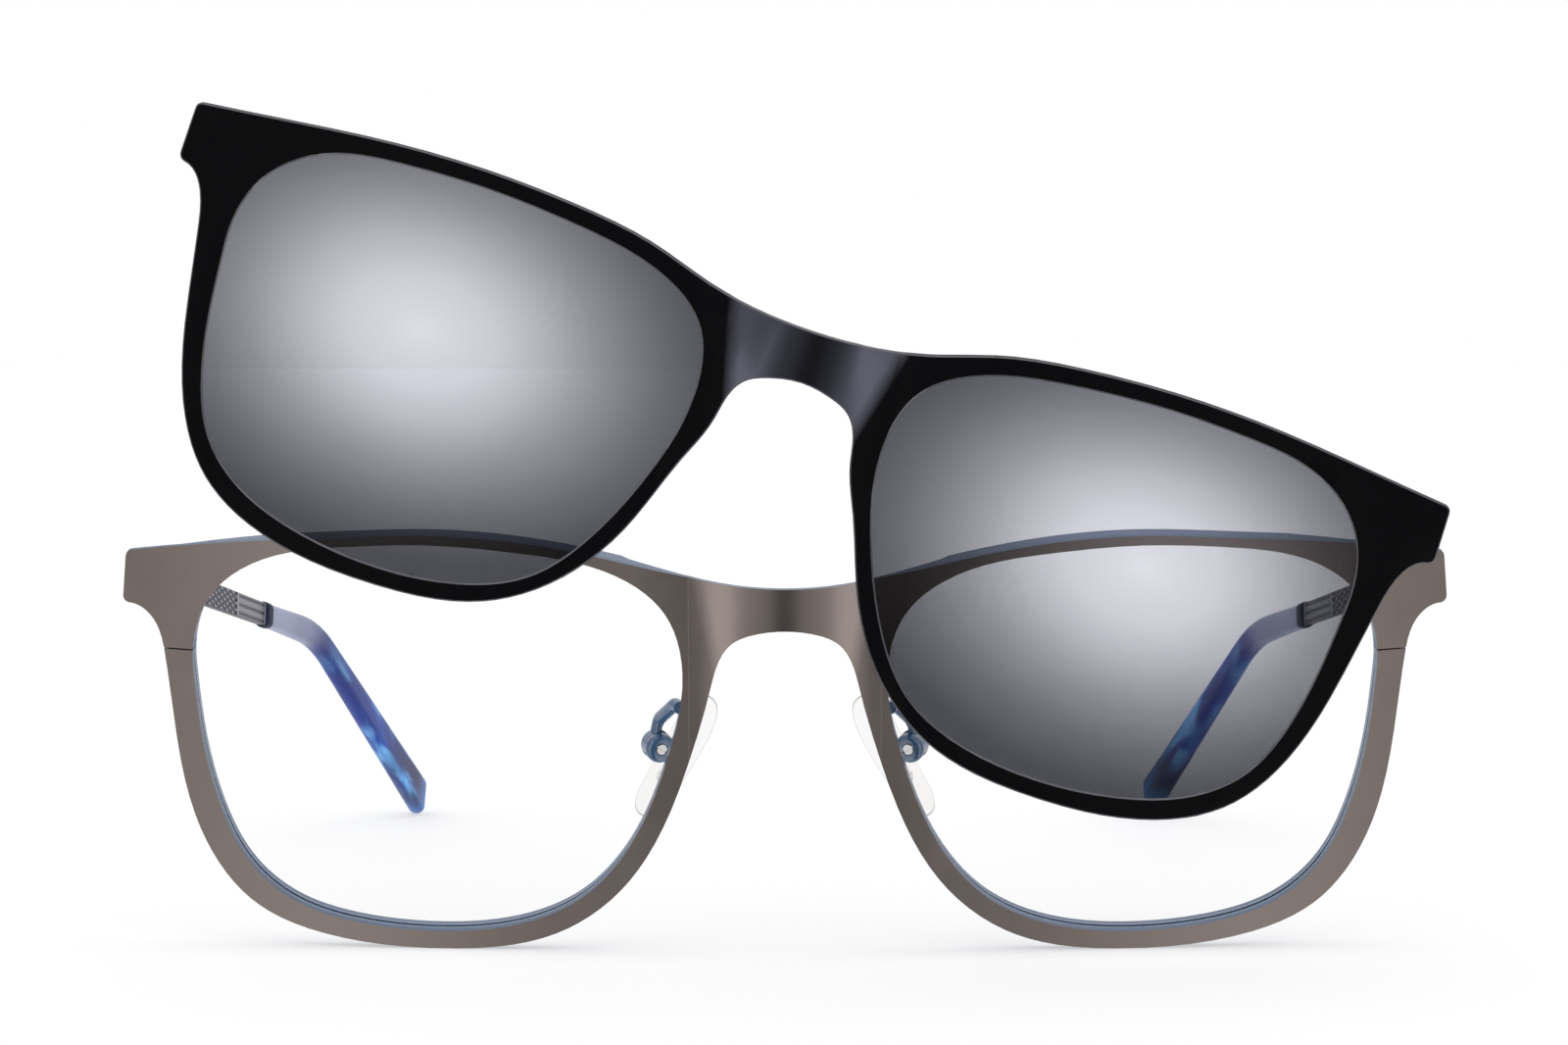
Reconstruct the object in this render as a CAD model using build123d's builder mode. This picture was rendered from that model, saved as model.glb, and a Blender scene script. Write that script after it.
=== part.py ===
from build123d import *
import os
from math import asin, cos, radians, sin, sqrt

# ---------------------------------------------------------------------------
# Optical frame with a magnetic clip-on pair of sun lenses.
# Millimetres, +Z up, -Y towards the viewer.  The optical frame stands on its
# rim bottoms and its temple tips; the clip-on is held up in front of it.
# "left" is the -X side, as seen by someone who faces the front.
# ---------------------------------------------------------------------------

# Pose of the optical front: its top leans towards the viewer.
FRONT_LEAN = 9.66
FRONT_Y = -62.13

# Wrap of the front in plan: a bowed bridge between two shallow lens arcs.
BRIDGE_RADIUS = 29.0
CREASE_U = 10.0
LENS_RADIUS = 150.0
LENS_VERTEX_U = 19.0
LENS_CENTRE_U = 35.4
WRAP_END_U = 73.0
CORNER_R = 0.7

# Optical front.
PLATE_T = 0.8
RIM_BOTTOM = 0.3
EYEWIRE_BACK = 3.5
EYEWIRE_W = 1.5
BROW_U = (8.0, 62.8)
BROW_FULL_U = (19.0, 52.0)
BROW_W = (36.5, 45.0)
GROOVE_DEPTH = 0.5
GROOVE_FRONT = 1.5
GROOVE_BACK = 2.1
LENS_FRONT = 1.15
LENS_BACK = 2.5
LENS_GAP = 0.04
SPLIT_W = 30.55
SPLIT_GAP = 0.15
LOCK_U = (62.0, 64.75)
LOCK_SCREW_U = 64.05
LOCK_H = 1.9
LOCK_SCREW_R = 0.42

# Clip-on.
CLIP_AT = (2.36, -78.8, 61.78)
CLIP_LEAN = 5.5
CLIP_ROLL = 17.92
CLIP_BRIDGE_W = 35.5
CLIP_T = 1.4
CLIP_LENS_FRONT = 0.45
CLIP_LENS_BACK = 1.25
CLIP_RABBET = 0.6

# Temples: one straight heading that toes in, with a slope down to the tip.
HINGE_AT = (65.0, -51.3, 38.7)
STRIP_OFFSET = 1.7
TOE_IN = 7.7
TEMPLE_SLOPE = 8.6
TIP_DROP = 14.7
STRIP_T = 1.0
COLLAR_S = 48.0
COLLAR_L = 5.0
BEND_S = 73.0
BEND_RADIUS = 60.0
CORE_H = 1.4
CORE_T = 0.8
TIP_T = 2.2
TIP_HEIGHTS = (2.8, 3.1, 4.4)
TIP_END_R = 1.0
TIP_ROUND = 0.6
HINGE_R = 1.05
HINGE_BORE = 0.5
HINGE_SCREW_R = 0.44

# Nose pads.
PAD_AT = (11.3, -54.8, 19.6)
PAD_TILT = 33.0
PAD_SPLAY = 23.0
PAD_L = 14.4
PAD_W = 7.6
PAD_T = 1.5
PAD_BOX_OUT = 2.7
PAD_BOX_R = 1.6
PAD_BOX_W = 2.8
PAD_SCREW_R = 0.42
PAD_HEAD_R = 0.55
PAD_HEAD_SINK = 0.35
PAD_WIRE_R = 0.72

# Magnets.
MAGNET_R = 1.2
MAGNET_T = 0.6
BRIDGE_MAGNET_R = 1.4
MAGNET_U = 64.6
MAGNET_W = 37.6

# Half of the lens opening in the optical front, about one lens (u, w).
FRONT_OPENING = [
    (61.9, 28.3), (61.0, 20.5), (59.2, 13.6), (56.1, 7.8), (51.6, 4.2), (45.2, 2.25), (36.0, 1.6),
    (28.0, 2.5), (21.0, 5.6), (15.8, 11.6), (12.3, 20.0), (10.6, 28.5), (12.4, 35.8), (18.2, 40.2),
    (27.4, 42.2), (36.5, 42.85), (45.6, 42.4), (54.4, 40.6), (60.2, 36.0),
]
# Top edge of the optical front, from the middle of the bridge to the end piece.
FRONT_TOP = [(0, 38.75), (6.2, 39.1), (12.6, 40.25), (20.5, 42.1), (28.0, 43.35), (36.6, 43.85),
             (46.6, 43.3), (57.0, 42.4), (68.9, 40.75)]
# Lower edge, from the bridge arch round the rim to the underside of the end piece.
FRONT_LOW = [(0, 34.35), (3.4, 33.9), (5.6, 32.8), (6.9, 30.8), (7.7, 28.0), (9.5, 21.5), (12.3, 13.8),
             (16.8, 6.6), (23.6, 1.7), (35.4, -0.3), (47.7, 0.6), (56.1, 3.9), (61.5, 11.2), (63.8, 20.4),
             (64.95, 30.0), (65.9, 33.3), (67.6, 34.9), (69.4, 35.3)]

CLIP_OPENING = [
    (60.05, 27.6), (59.5, 20.4), (58.3, 14.0), (55.7, 8.3), (51.2, 4.6), (45.0, 2.5), (35.4, 1.6),
    (27.4, 2.55), (20.2, 5.7), (15.3, 11.8), (11.7, 19.9), (9.95, 28.4), (11.7, 35.4), (17.5, 39.25),
    (26.4, 41.0), (35.4, 41.6), (44.6, 41.25), (52.8, 39.65), (58.5, 34.9),
]
CLIP_TOP = [(0, 38.3), (5.0, 38.5), (10.2, 39.2), (18.2, 41.6), (26.9, 42.95), (35.6, 43.4),
            (46.0, 43.05), (56.2, 41.9), (67.3, 40.4)]
CLIP_LOW = [(0, 33.0), (3.4, 32.4), (5.5, 31.3), (6.6, 29.4), (7.2, 26.6), (9.0, 21.9), (12.2, 13.6),
            (16.9, 6.5), (23.5, 1.8), (35.2, -0.3), (47.0, 0.65), (55.1, 4.5), (60.0, 12.1), (62.2, 21.0),
            (63.4, 28.4), (64.2, 31.6), (65.8, 33.8), (67.5, 34.4)]

DEEP = 30.0


def wrap_depth(u):
    """Distance of the curved front surface behind the middle of the bridge."""
    u = abs(u)
    if u <= CREASE_U:
        return BRIDGE_RADIUS - sqrt(BRIDGE_RADIUS**2 - u**2)
    crease = BRIDGE_RADIUS - sqrt(BRIDGE_RADIUS**2 - CREASE_U**2)
    vertex = crease - LENS_RADIUS + sqrt(LENS_RADIUS**2 - (LENS_VERTEX_U - CREASE_U) ** 2)
    return vertex + LENS_RADIUS - sqrt(LENS_RADIUS**2 - (u - LENS_VERTEX_U) ** 2)


def plan_of(face):
    """Plane of the plan section of a front: local y runs backwards."""
    return Plane(origin=face.origin, x_dir=face.x_dir, z_dir=face.y_dir)


def wrap_line(back):
    """The wrap curve, moved backwards, as arcs in the current line."""
    for side in (-1, 1):
        ends = [CREASE_U, (CREASE_U + WRAP_END_U) / 2, WRAP_END_U]
        ThreePointArc(*[(side * u, wrap_depth(u) + back) for u in ends])
    ThreePointArc(*[(u, wrap_depth(u) + back) for u in (-CREASE_U, 0, CREASE_U)])


def wrapped(face, front, back, outline):
    """A curved sheet between two depths, cut to an outline drawn on the face plane."""
    with BuildSketch(plan_of(face).offset(-5)) as section:
        with BuildLine():
            wrap_line(front)
            wrap_line(back)
            for side in (-1, 1):
                end = wrap_depth(WRAP_END_U)
                Line((side * WRAP_END_U, end + front), (side * WRAP_END_U, end + back))
        make_face()
    with BuildPart() as sheet:
        extrude(section.sketch, amount=55)
        extrude(outline, amount=DEEP, both=True, mode=Mode.INTERSECT)
    return sheet.part


def opening(face, points, side, grow=0.0):
    """Closed lens shape on one side, its points moved outwards by a margin."""
    ring = []
    for before, here, after in zip(points[-1:] + points[:-1], points, points[1:] + points[:1]):
        along = (Vector(*after) - Vector(*before)).normalized()
        moved = Vector(*here) + Vector(-along.Y, along.X) * grow
        ring.append((side * moved.X, moved.Y))
    with BuildSketch(face) as shape:
        with BuildLine():
            Spline(*ring, periodic=True)
        make_face()
    return shape.sketch


def both_halves(points, end):
    """Points of a whole edge from its right half, with a last point before the corner."""
    half = [Vector(*point) for point in points[:-1]] + [end]
    return [Vector(-spot.X, spot.Y) for spot in reversed(half[1:])] + half


def front_blank(face, top, low):
    """Outline of a whole front without its lens openings; the end corners are rounded."""
    high, deep = (Vector(*points[-1]) for points in (top, low))
    high_start = high + (Vector(*top[-2]) - high).normalized() * CORNER_R
    deep_start = deep + (Vector(*low[-2]) - deep).normalized() * CORNER_R
    side = (high - deep).normalized() * CORNER_R
    with BuildSketch(face) as blank:
        with BuildLine():
            Spline(*both_halves(top, high_start))
            Spline(*both_halves(low, deep_start))
            for sign in (-1, 1):
                corners = [(high_start, high, high - side), (deep_start, deep, deep + side)]
                for corner in corners:
                    Bezier(*[(sign * spot.X, spot.Y) for spot in corner])
                Line(*[(sign * spot.X, spot.Y) for spot in (high - side, deep + side)])
        make_face()
    return blank.sketch


def box_on(plane, x_span, y_span):
    """Rectangle on a plane, given by its spans."""
    with BuildSketch(plane) as shape:
        with Locations(((x_span[0] + x_span[1]) / 2, (y_span[0] + y_span[1]) / 2)):
            Rectangle(x_span[1] - x_span[0], y_span[1] - y_span[0])
    return shape.sketch


def disc_on(plane, radius):
    """Disc on a plane."""
    with BuildSketch(plane) as shape:
        Circle(radius)
    return shape.sketch


def on_surface(face, u, w, depth=0.0):
    """Plane on the curved front surface of the right half, its normal pointing forwards."""
    if u > CREASE_U:
        slope = asin((u - LENS_VERTEX_U) / LENS_RADIUS)
    else:
        slope = asin(u / BRIDGE_RADIUS)
    normal = face.z_dir * cos(slope) + face.x_dir * sin(slope)
    along = face.x_dir * cos(slope) - face.z_dir * sin(slope)
    spot = face.from_local_coords(Vector(u, w, -wrap_depth(u)))
    return Plane(origin=spot - normal * depth, x_dir=along, z_dir=normal)


def turned(vector, axis, angle):
    """A direction turned about an axis through the origin, in degrees."""
    return Vector(*vector).rotate(Axis((0, 0, 0), axis), angle)


def save(solid, name):
    """Label one finished piece and write it."""
    solid.label = name
    export_step(solid, f"parts/{name}.step")


def save_pair(solid, name, about=Plane.YZ):
    """Write the right piece, and its mirror image as the left one."""
    save(mirror(solid, about=about), f"{name}_left")
    save(solid, f"{name}_right")


os.makedirs("parts", exist_ok=True)

# ---------------------------------------------------------------------------
# Planes that the two fronts, the hinges, the temples and the pads are drawn on
# ---------------------------------------------------------------------------
lean = radians(FRONT_LEAN)
front_z = RIM_BOTTOM * cos(lean) - wrap_depth(LENS_CENTRE_U) * sin(lean)
FACE = Plane(origin=(0, FRONT_Y, front_z), x_dir=(1, 0, 0), z_dir=(0, -cos(lean), -sin(lean)))

clip_lean = radians(CLIP_LEAN)
roll = radians(CLIP_ROLL)
clip_bridge = Plane(
    origin=CLIP_AT,
    x_dir=(cos(roll), 0, -sin(roll)),
    z_dir=(-sin(clip_lean) * sin(roll), -cos(clip_lean), -sin(clip_lean) * cos(roll)),
)
CLIP = Plane(
    origin=clip_bridge.from_local_coords(Vector(0, -CLIP_BRIDGE_W, 0)),
    x_dir=clip_bridge.x_dir,
    z_dir=clip_bridge.z_dir,
)
CLIP_MIDDLE = Plane(origin=CLIP.origin, x_dir=CLIP.y_dir, z_dir=CLIP.x_dir)

toe = radians(TOE_IN)
slope = radians(TEMPLE_SLOPE)
outward = Vector(cos(toe), sin(toe), 0)
TEMPLE = Plane(
    origin=Vector(*HINGE_AT) + outward * STRIP_OFFSET,
    x_dir=(-sin(toe) * cos(slope), cos(toe) * cos(slope), -sin(slope)),
    z_dir=outward,
)
HINGE = Plane(origin=HINGE_AT, x_dir=(1, 0, 0), z_dir=(0, sin(slope), cos(slope)))

pad_across = turned(turned((0, 1, 0), (0, 0, 1), -PAD_SPLAY), (0, 1, 0), -PAD_TILT)
pad_outward = turned(turned((1, 0, 0), (0, 0, 1), -PAD_SPLAY), (0, 1, 0), -PAD_TILT)
PAD = Plane(origin=PAD_AT, x_dir=pad_across, z_dir=pad_outward)
PAD_AXIS = Plane(
    origin=Vector(*PAD_AT) + pad_outward * PAD_BOX_OUT,
    x_dir=pad_outward,
    z_dir=pad_across,
)

# ---------------------------------------------------------------------------
# Optical front: a thin sheet plate, with the rims that hold the lenses behind it
# ---------------------------------------------------------------------------
split_low = SPLIT_W - SPLIT_GAP / 2
split_high = SPLIT_W + SPLIT_GAP / 2
split_cut = box_on(FACE, (61.0, 67.0), (split_low, split_high))
other_split_cut = mirror(split_cut, about=Plane.YZ)

plate_outline = front_blank(FACE, FRONT_TOP, FRONT_LOW)

with BuildPart() as front_plate:
    add(wrapped(FACE, 0, PLATE_T, plate_outline))
    for side in (-1, 1):
        extrude(opening(FACE, FRONT_OPENING, side), amount=DEEP, both=True, mode=Mode.SUBTRACT)
    extrude(split_cut, amount=DEEP, both=True, mode=Mode.SUBTRACT)
    extrude(other_split_cut, amount=DEEP, both=True, mode=Mode.SUBTRACT)
save(front_plate.part, "front_plate")

lens_hole = opening(FACE, FRONT_OPENING, 1)
rim_outline = opening(FACE, FRONT_OPENING, 1, EYEWIRE_W)

# The rim is as high as the plate along the brow, and thins out towards the bridge and the end piece.
with BuildSketch(plan_of(FACE)) as brow_plan:
    with BuildLine():
        Polyline(*[(u, wrap_depth(u) + depth) for u, depth in (
            (BROW_U[0], PLATE_T), (BROW_FULL_U[0], EYEWIRE_BACK), (35.0, EYEWIRE_BACK + 0.6),
            (BROW_FULL_U[1], EYEWIRE_BACK), (BROW_U[1], PLATE_T), (35.0, -2.0))], close=True)
    make_face()

with BuildPart() as brow:
    add(wrapped(FACE, PLATE_T, EYEWIRE_BACK, plate_outline))
    extrude(box_on(FACE, BROW_U, BROW_W), amount=DEEP, both=True, mode=Mode.INTERSECT)
    extrude(brow_plan.sketch, amount=60, mode=Mode.INTERSECT)

with BuildPart() as eyewire:
    add(wrapped(FACE, PLATE_T, EYEWIRE_BACK, rim_outline))
    extrude(plate_outline, amount=DEEP, both=True, mode=Mode.INTERSECT)
    add(brow.part)
    extrude(lens_hole, amount=DEEP, both=True, mode=Mode.SUBTRACT)
    groove = wrapped(FACE, GROOVE_FRONT, GROOVE_BACK, opening(FACE, FRONT_OPENING, 1, GROOVE_DEPTH))
    add(groove, mode=Mode.SUBTRACT)
    extrude(split_cut, amount=DEEP, both=True, mode=Mode.SUBTRACT)
save_pair(eyewire.part, "eyewire")

with BuildPart() as demo_lens:
    add(wrapped(FACE, LENS_FRONT, LENS_BACK, opening(FACE, FRONT_OPENING, 1, -LENS_GAP)))
    ridge = opening(FACE, FRONT_OPENING, 1, GROOVE_DEPTH - LENS_GAP)
    add(wrapped(FACE, GROOVE_FRONT + LENS_GAP, GROOVE_BACK - LENS_GAP, ridge))
save_pair(demo_lens.part, "demo_lens")

# Rim locks: two blocks, above and below the split, drawn together by a screw.
lock_spans = {"rim_lock_lower": (SPLIT_W - LOCK_H, split_low), "rim_lock_upper": (split_high, SPLIT_W + LOCK_H)}
lock_spot = Vector(LOCK_SCREW_U, SPLIT_W, -wrap_depth(LOCK_SCREW_U) - (PLATE_T + EYEWIRE_BACK) / 2)
LOCK = Plane(origin=FACE.from_local_coords(lock_spot), x_dir=FACE.x_dir, z_dir=FACE.y_dir)
for name, span in lock_spans.items():
    with BuildPart() as rim_lock:
        add(wrapped(FACE, PLATE_T, EYEWIRE_BACK, box_on(FACE, LOCK_U, span)))
        extrude(rim_outline, amount=DEEP, both=True, mode=Mode.SUBTRACT)
        extrude(disc_on(LOCK, LOCK_SCREW_R), amount=LOCK_H, both=True, mode=Mode.SUBTRACT)
    save_pair(rim_lock.part, name)

with BuildPart() as rim_lock_screw:
    extrude(disc_on(LOCK.offset(-LOCK_H), LOCK_SCREW_R), amount=2 * LOCK_H - 0.1)
    extrude(disc_on(LOCK.offset(-LOCK_H), 0.7), amount=-0.5)
    extrude(box_on(LOCK.offset(-LOCK_H - 0.5), (-0.7, 0.7), (-0.1, 0.1)), amount=0.2, mode=Mode.SUBTRACT)
save_pair(rim_lock_screw.part, "rim_lock_screw")

# Magnet behind the bridge, in a small cup.
bridge_spot = on_surface(FACE, 0, (FRONT_TOP[0][1] + FRONT_LOW[0][1]) / 2)
with BuildPart() as bridge_magnet:
    extrude(disc_on(bridge_spot.offset(-1.9), BRIDGE_MAGNET_R), amount=0.9)
save(bridge_magnet.part, "frame_bridge_magnet")

with BuildPart() as magnet_cup:
    add(wrapped(FACE, PLATE_T, 2.4, disc_on(bridge_spot, BRIDGE_MAGNET_R + 0.4)))
    add(bridge_magnet.part, mode=Mode.SUBTRACT)
save(magnet_cup.part, "frame_magnet_cup")

# ---------------------------------------------------------------------------
# End pieces, hinges and temples (right side; the left side is its mirror image)
# ---------------------------------------------------------------------------
magnet_spot = on_surface(FACE, MAGNET_U, MAGNET_W, PLATE_T + 0.3)
with BuildPart() as end_magnet:
    extrude(disc_on(magnet_spot.offset(-MAGNET_T - 0.4), MAGNET_R), amount=MAGNET_T + 0.4)
save_pair(end_magnet.part, "frame_magnet")

WALL_X = (1.1, 2.5)
WALL_Z = (-2.0, 2.0)
with BuildPart() as end_piece:
    extrude(box_on(HINGE.offset(WALL_Z[0]), WALL_X, (-12.0, -0.35)), amount=WALL_Z[1] - WALL_Z[0])
    add(wrapped(FACE, -20, PLATE_T, box_on(FACE, (50, 72), (25, 50))), mode=Mode.SUBTRACT)
    add(wrapped(FACE, PLATE_T, PLATE_T + 1.9, box_on(FACE, (62.95, 68.4), (35.9, 40.0))))
    add(end_magnet.part, mode=Mode.SUBTRACT)
save_pair(end_piece.part, "end_piece")

KNUCKLE = 0.7
BARREL = 2.0
GAP = 0.06
with BuildPart() as front_hinge:
    extrude(box_on(HINGE.offset(-BARREL), (0.25, WALL_X[0]), (-4.6, 0)), amount=2 * BARREL)
    extrude(disc_on(HINGE, HINGE_R), amount=BARREL, both=True)
    extrude(box_on(HINGE.offset(-KNUCKLE - GAP), (-2, WALL_X[0]), (-1.6, 2)), amount=2 * (KNUCKLE + GAP),
            mode=Mode.SUBTRACT)
    extrude(disc_on(HINGE, HINGE_BORE), amount=5, both=True, mode=Mode.SUBTRACT)
save_pair(front_hinge.part, "front_hinge")

with BuildPart() as hinge_screw:
    extrude(disc_on(HINGE.offset(-BARREL), HINGE_SCREW_R), amount=2 * BARREL)
    extrude(disc_on(HINGE.offset(BARREL), 0.8), amount=0.5)
    extrude(box_on(HINGE.offset(BARREL + 0.3), (-1, 1), (-0.12, 0.12)), amount=0.2, mode=Mode.SUBTRACT)
save_pair(hinge_screw.part, "hinge_screw")

LEAF_IN = -STRIP_OFFSET + 0.25
with BuildPart() as temple_hinge:
    extrude(box_on(TEMPLE.offset(LEAF_IN), (1.5, 6.5), (-1.3, 1.3)), amount=-STRIP_T / 2 - LEAF_IN)
    extrude(box_on(TEMPLE.offset(LEAF_IN), (0.2, 2.0), (-KNUCKLE, KNUCKLE)), amount=-STRIP_T / 2 - LEAF_IN)
    extrude(disc_on(HINGE, HINGE_R), amount=KNUCKLE, both=True)
    extrude(disc_on(HINGE, HINGE_BORE), amount=5, both=True, mode=Mode.SUBTRACT)
save_pair(temple_hinge.part, "temple_hinge")


def temple_profile(start, stop_short, heights, end_radius):
    """Side view of a temple part that follows the drop: heights at start, bend and end."""
    drop = radians(TIP_DROP)
    reach = tip_length() - stop_short
    down = Vector(cos(drop), -sin(drop))
    up = Vector(sin(drop), cos(drop))
    half = radians(TIP_DROP / 2)
    edges = []
    for sign in (1, -1):
        knee = Vector(BEND_S, 0) + Vector(sin(half), cos(half)) * (sign * heights[1] / 2)
        end = Vector(BEND_S, 0) + down * reach + up * (sign * heights[2] / 2)
        edges.append([(start, sign * heights[0] / 2), (knee.X, knee.Y), (end.X, end.Y)])
    with BuildSketch(TEMPLE) as profile:
        with BuildLine():
            FilletPolyline(*edges[0], radius=BEND_RADIUS)
            FilletPolyline(*edges[1], radius=BEND_RADIUS)
            Line(edges[0][0], edges[1][0])
            Line(edges[0][2], edges[1][2])
        make_face()
        if end_radius:
            ends = profile.vertices().sort_by(Axis.X)[-2:]
            fillet(ends, end_radius)
    return profile.sketch


def tip_length():
    """Length of the dropped tip that brings its rounded lower corner to the floor."""
    dip = radians(TEMPLE_SLOPE + TIP_DROP)
    bend_z = HINGE_AT[2] - BEND_S * sin(radians(TEMPLE_SLOPE))
    corner = TIP_HEIGHTS[2] / 2 * cos(dip) - TIP_END_R * (sin(dip) + cos(dip) - 1)
    return (bend_z - corner) / sin(dip)


with BuildPart() as temple:
    with BuildSketch(TEMPLE):
        with BuildLine():
            Polyline((0.3, -1.45), (COLLAR_S + 2, -1.25), (COLLAR_S + 2, 1.25), (0.3, 1.45), close=True)
        make_face()
    extrude(amount=STRIP_T / 2, both=True)
    extrude(temple_profile(COLLAR_S + 1, 16.0, (CORE_H, CORE_H, CORE_H), 0), amount=CORE_T / 2, both=True)
save_pair(temple.part, "temple")

with BuildPart() as tip_collar:
    with BuildSketch(TEMPLE):
        with Locations((COLLAR_S + COLLAR_L / 2, 0)):
            RectangleRounded(COLLAR_L, 3.3, 0.6)
    extrude(amount=2.5 / 2, both=True)
    fillet(tip_collar.edges().filter_by(Axis(TEMPLE.origin, TEMPLE.x_dir)), 0.5)
    add(temple.part, mode=Mode.SUBTRACT)
save_pair(tip_collar.part, "tip_collar")

with BuildPart() as temple_tip:
    extrude(temple_profile(COLLAR_S + COLLAR_L, 0, TIP_HEIGHTS, TIP_END_R), amount=TIP_T / 2, both=True)
    fillet(temple_tip.edges().group_by(Axis(TEMPLE.origin, TEMPLE.z_dir))[-1], TIP_ROUND)
    fillet(temple_tip.edges().group_by(Axis(TEMPLE.origin, TEMPLE.z_dir))[0], TIP_ROUND)
    add(temple.part, mode=Mode.SUBTRACT)
save_pair(temple_tip.part, "temple_tip")

# ---------------------------------------------------------------------------
# Nose pads: an arm with a box on the rim, and a soft pad that rocks on its screw
# ---------------------------------------------------------------------------
LUG_HALF = 0.5
SLOT_HALF = 0.6
box_centre = PAD_AXIS.origin
arm_root = FACE.from_local_coords(Vector(10.6, 24.9, -wrap_depth(10.6) - EYEWIRE_BACK + 0.4))
arm_out = FACE.from_local_coords(Vector(11.5, 25.0, -wrap_depth(10.6) - EYEWIRE_BACK - 1.3))
arm_knee = box_centre + Vector(-0.2, -0.3, 2.9)
arm_end = box_centre + Vector(0.3, 0, 0.6)
with BuildPart() as pad_arm:
    with BuildLine() as arm_path:
        FilletPolyline(arm_root, arm_out, arm_knee, arm_end, radius=0.9)
    with BuildSketch(Plane(origin=arm_root, z_dir=arm_path.line % 0)):
        Circle(PAD_WIRE_R)
    sweep()
    extrude(disc_on(PAD_AXIS, PAD_BOX_R), amount=PAD_BOX_W / 2, both=True)
    fillet(pad_arm.faces().filter_by(Axis((0, 0, 0), PAD_AXIS.z_dir)).edges(), 0.6)
    extrude(box_on(PAD_AXIS.offset(-SLOT_HALF), (-3, 0.95), (-3, 3)), amount=2 * SLOT_HALF,
            mode=Mode.SUBTRACT)
    extrude(disc_on(PAD_AXIS, PAD_SCREW_R + 0.03), amount=PAD_BOX_W, both=True, mode=Mode.SUBTRACT)
    extrude(disc_on(PAD_AXIS.offset(-PAD_BOX_W / 2 - 0.1), PAD_HEAD_R + 0.1), amount=PAD_HEAD_SINK + 0.1,
            mode=Mode.SUBTRACT)
    add(wrapped(FACE, -10, EYEWIRE_BACK, box_on(FACE, (0, 30), (10, 40))), mode=Mode.SUBTRACT)
save_pair(pad_arm.part, "pad_arm")

head_seat = PAD_AXIS.offset(PAD_HEAD_SINK - PAD_BOX_W / 2)
with BuildPart() as pad_screw:
    extrude(disc_on(head_seat, PAD_SCREW_R), amount=PAD_BOX_W - PAD_HEAD_SINK - 0.05)
    extrude(disc_on(head_seat, PAD_HEAD_R), amount=-0.4)
    extrude(box_on(head_seat.offset(-0.4), (-0.7, 0.7), (-0.09, 0.09)), amount=0.18, mode=Mode.SUBTRACT)
save_pair(pad_screw.part, "pad_screw")

with BuildPart() as pad_insert:
    with BuildSketch(PAD):
        RectangleRounded(2.8, 6.4, 1.0)
    extrude(amount=0.4)
    with BuildSketch(Plane(origin=box_centre - pad_across * LUG_HALF, x_dir=pad_outward, z_dir=pad_across)):
        Circle(0.8)
        with Locations((-PAD_BOX_OUT / 2 + 0.1, 0)):
            Rectangle(PAD_BOX_OUT - 0.2, 1.5)
    extrude(amount=2 * LUG_HALF)
    extrude(disc_on(PAD_AXIS, PAD_SCREW_R + 0.05), amount=PAD_BOX_W, both=True, mode=Mode.SUBTRACT)
save_pair(pad_insert.part, "pad_insert")

with BuildPart() as nose_pad:
    with BuildSketch(PAD.offset(-PAD_T / 2)):
        with BuildLine():
            top_r = 0.44 * PAD_W
            low_r = 0.40 * PAD_W
            top_c = PAD_L / 2 - top_r
            low_c = -PAD_L / 2 + low_r
            CenterArc((0.15 * PAD_W, top_c), top_r, 0, 120)
            CenterArc((-0.02 * PAD_W, low_c), low_r, 180, 180)
            Line((0.15 * PAD_W + top_r, top_c), (-0.02 * PAD_W + low_r, low_c))
            shoulder = (0.15 * PAD_W - top_r / 2, top_c + top_r * sqrt(3) / 2)
            Spline(shoulder, (-0.02 * PAD_W - low_r, low_c), tangents=((-0.87, -0.5), (0, -1)))
        make_face()
    extrude(amount=PAD_T)
    fillet(nose_pad.edges().group_by(Axis(PAD.origin, PAD.z_dir))[0], 0.6)
    fillet(nose_pad.edges().group_by(Axis(PAD.origin, PAD.z_dir))[-1], 0.4)
    add(pad_insert.part, mode=Mode.SUBTRACT)
save_pair(nose_pad.part, "nose_pad")

# ---------------------------------------------------------------------------
# Clip-on: a dark sheet front with sun lenses set in from behind, and its magnets
# ---------------------------------------------------------------------------
clip_spot = on_surface(CLIP, 0, CLIP_BRIDGE_W, CLIP_T)
with BuildPart() as clip_bridge_magnet:
    extrude(disc_on(clip_spot.offset(0.12), BRIDGE_MAGNET_R), amount=MAGNET_T)
save(clip_bridge_magnet.part, "clip_bridge_magnet")

clip_end = on_surface(CLIP, 62.9, 36.9, CLIP_T)
with BuildPart() as clip_magnet:
    extrude(disc_on(clip_end.offset(0.1), MAGNET_R), amount=MAGNET_T)
save_pair(clip_magnet.part, "clip_magnet", CLIP_MIDDLE)

magnet_pocket = extrude(disc_on(clip_end, MAGNET_R), amount=MAGNET_T + 0.1)
other_pocket = mirror(magnet_pocket, about=CLIP_MIDDLE)
with BuildPart() as clip_front:
    add(wrapped(CLIP, 0, CLIP_T, front_blank(CLIP, CLIP_TOP, CLIP_LOW)))
    for side in (-1, 1):
        extrude(opening(CLIP, CLIP_OPENING, side), amount=DEEP, both=True, mode=Mode.SUBTRACT)
        seat = opening(CLIP, CLIP_OPENING, side, CLIP_RABBET)
        add(wrapped(CLIP, CLIP_LENS_FRONT, CLIP_T + 1, seat), mode=Mode.SUBTRACT)
    extrude(disc_on(clip_spot, BRIDGE_MAGNET_R + 0.25), amount=MAGNET_T + 0.3, mode=Mode.SUBTRACT)
    add(magnet_pocket, mode=Mode.SUBTRACT)
    add(other_pocket, mode=Mode.SUBTRACT)
save(clip_front.part, "clip_front")

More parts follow.
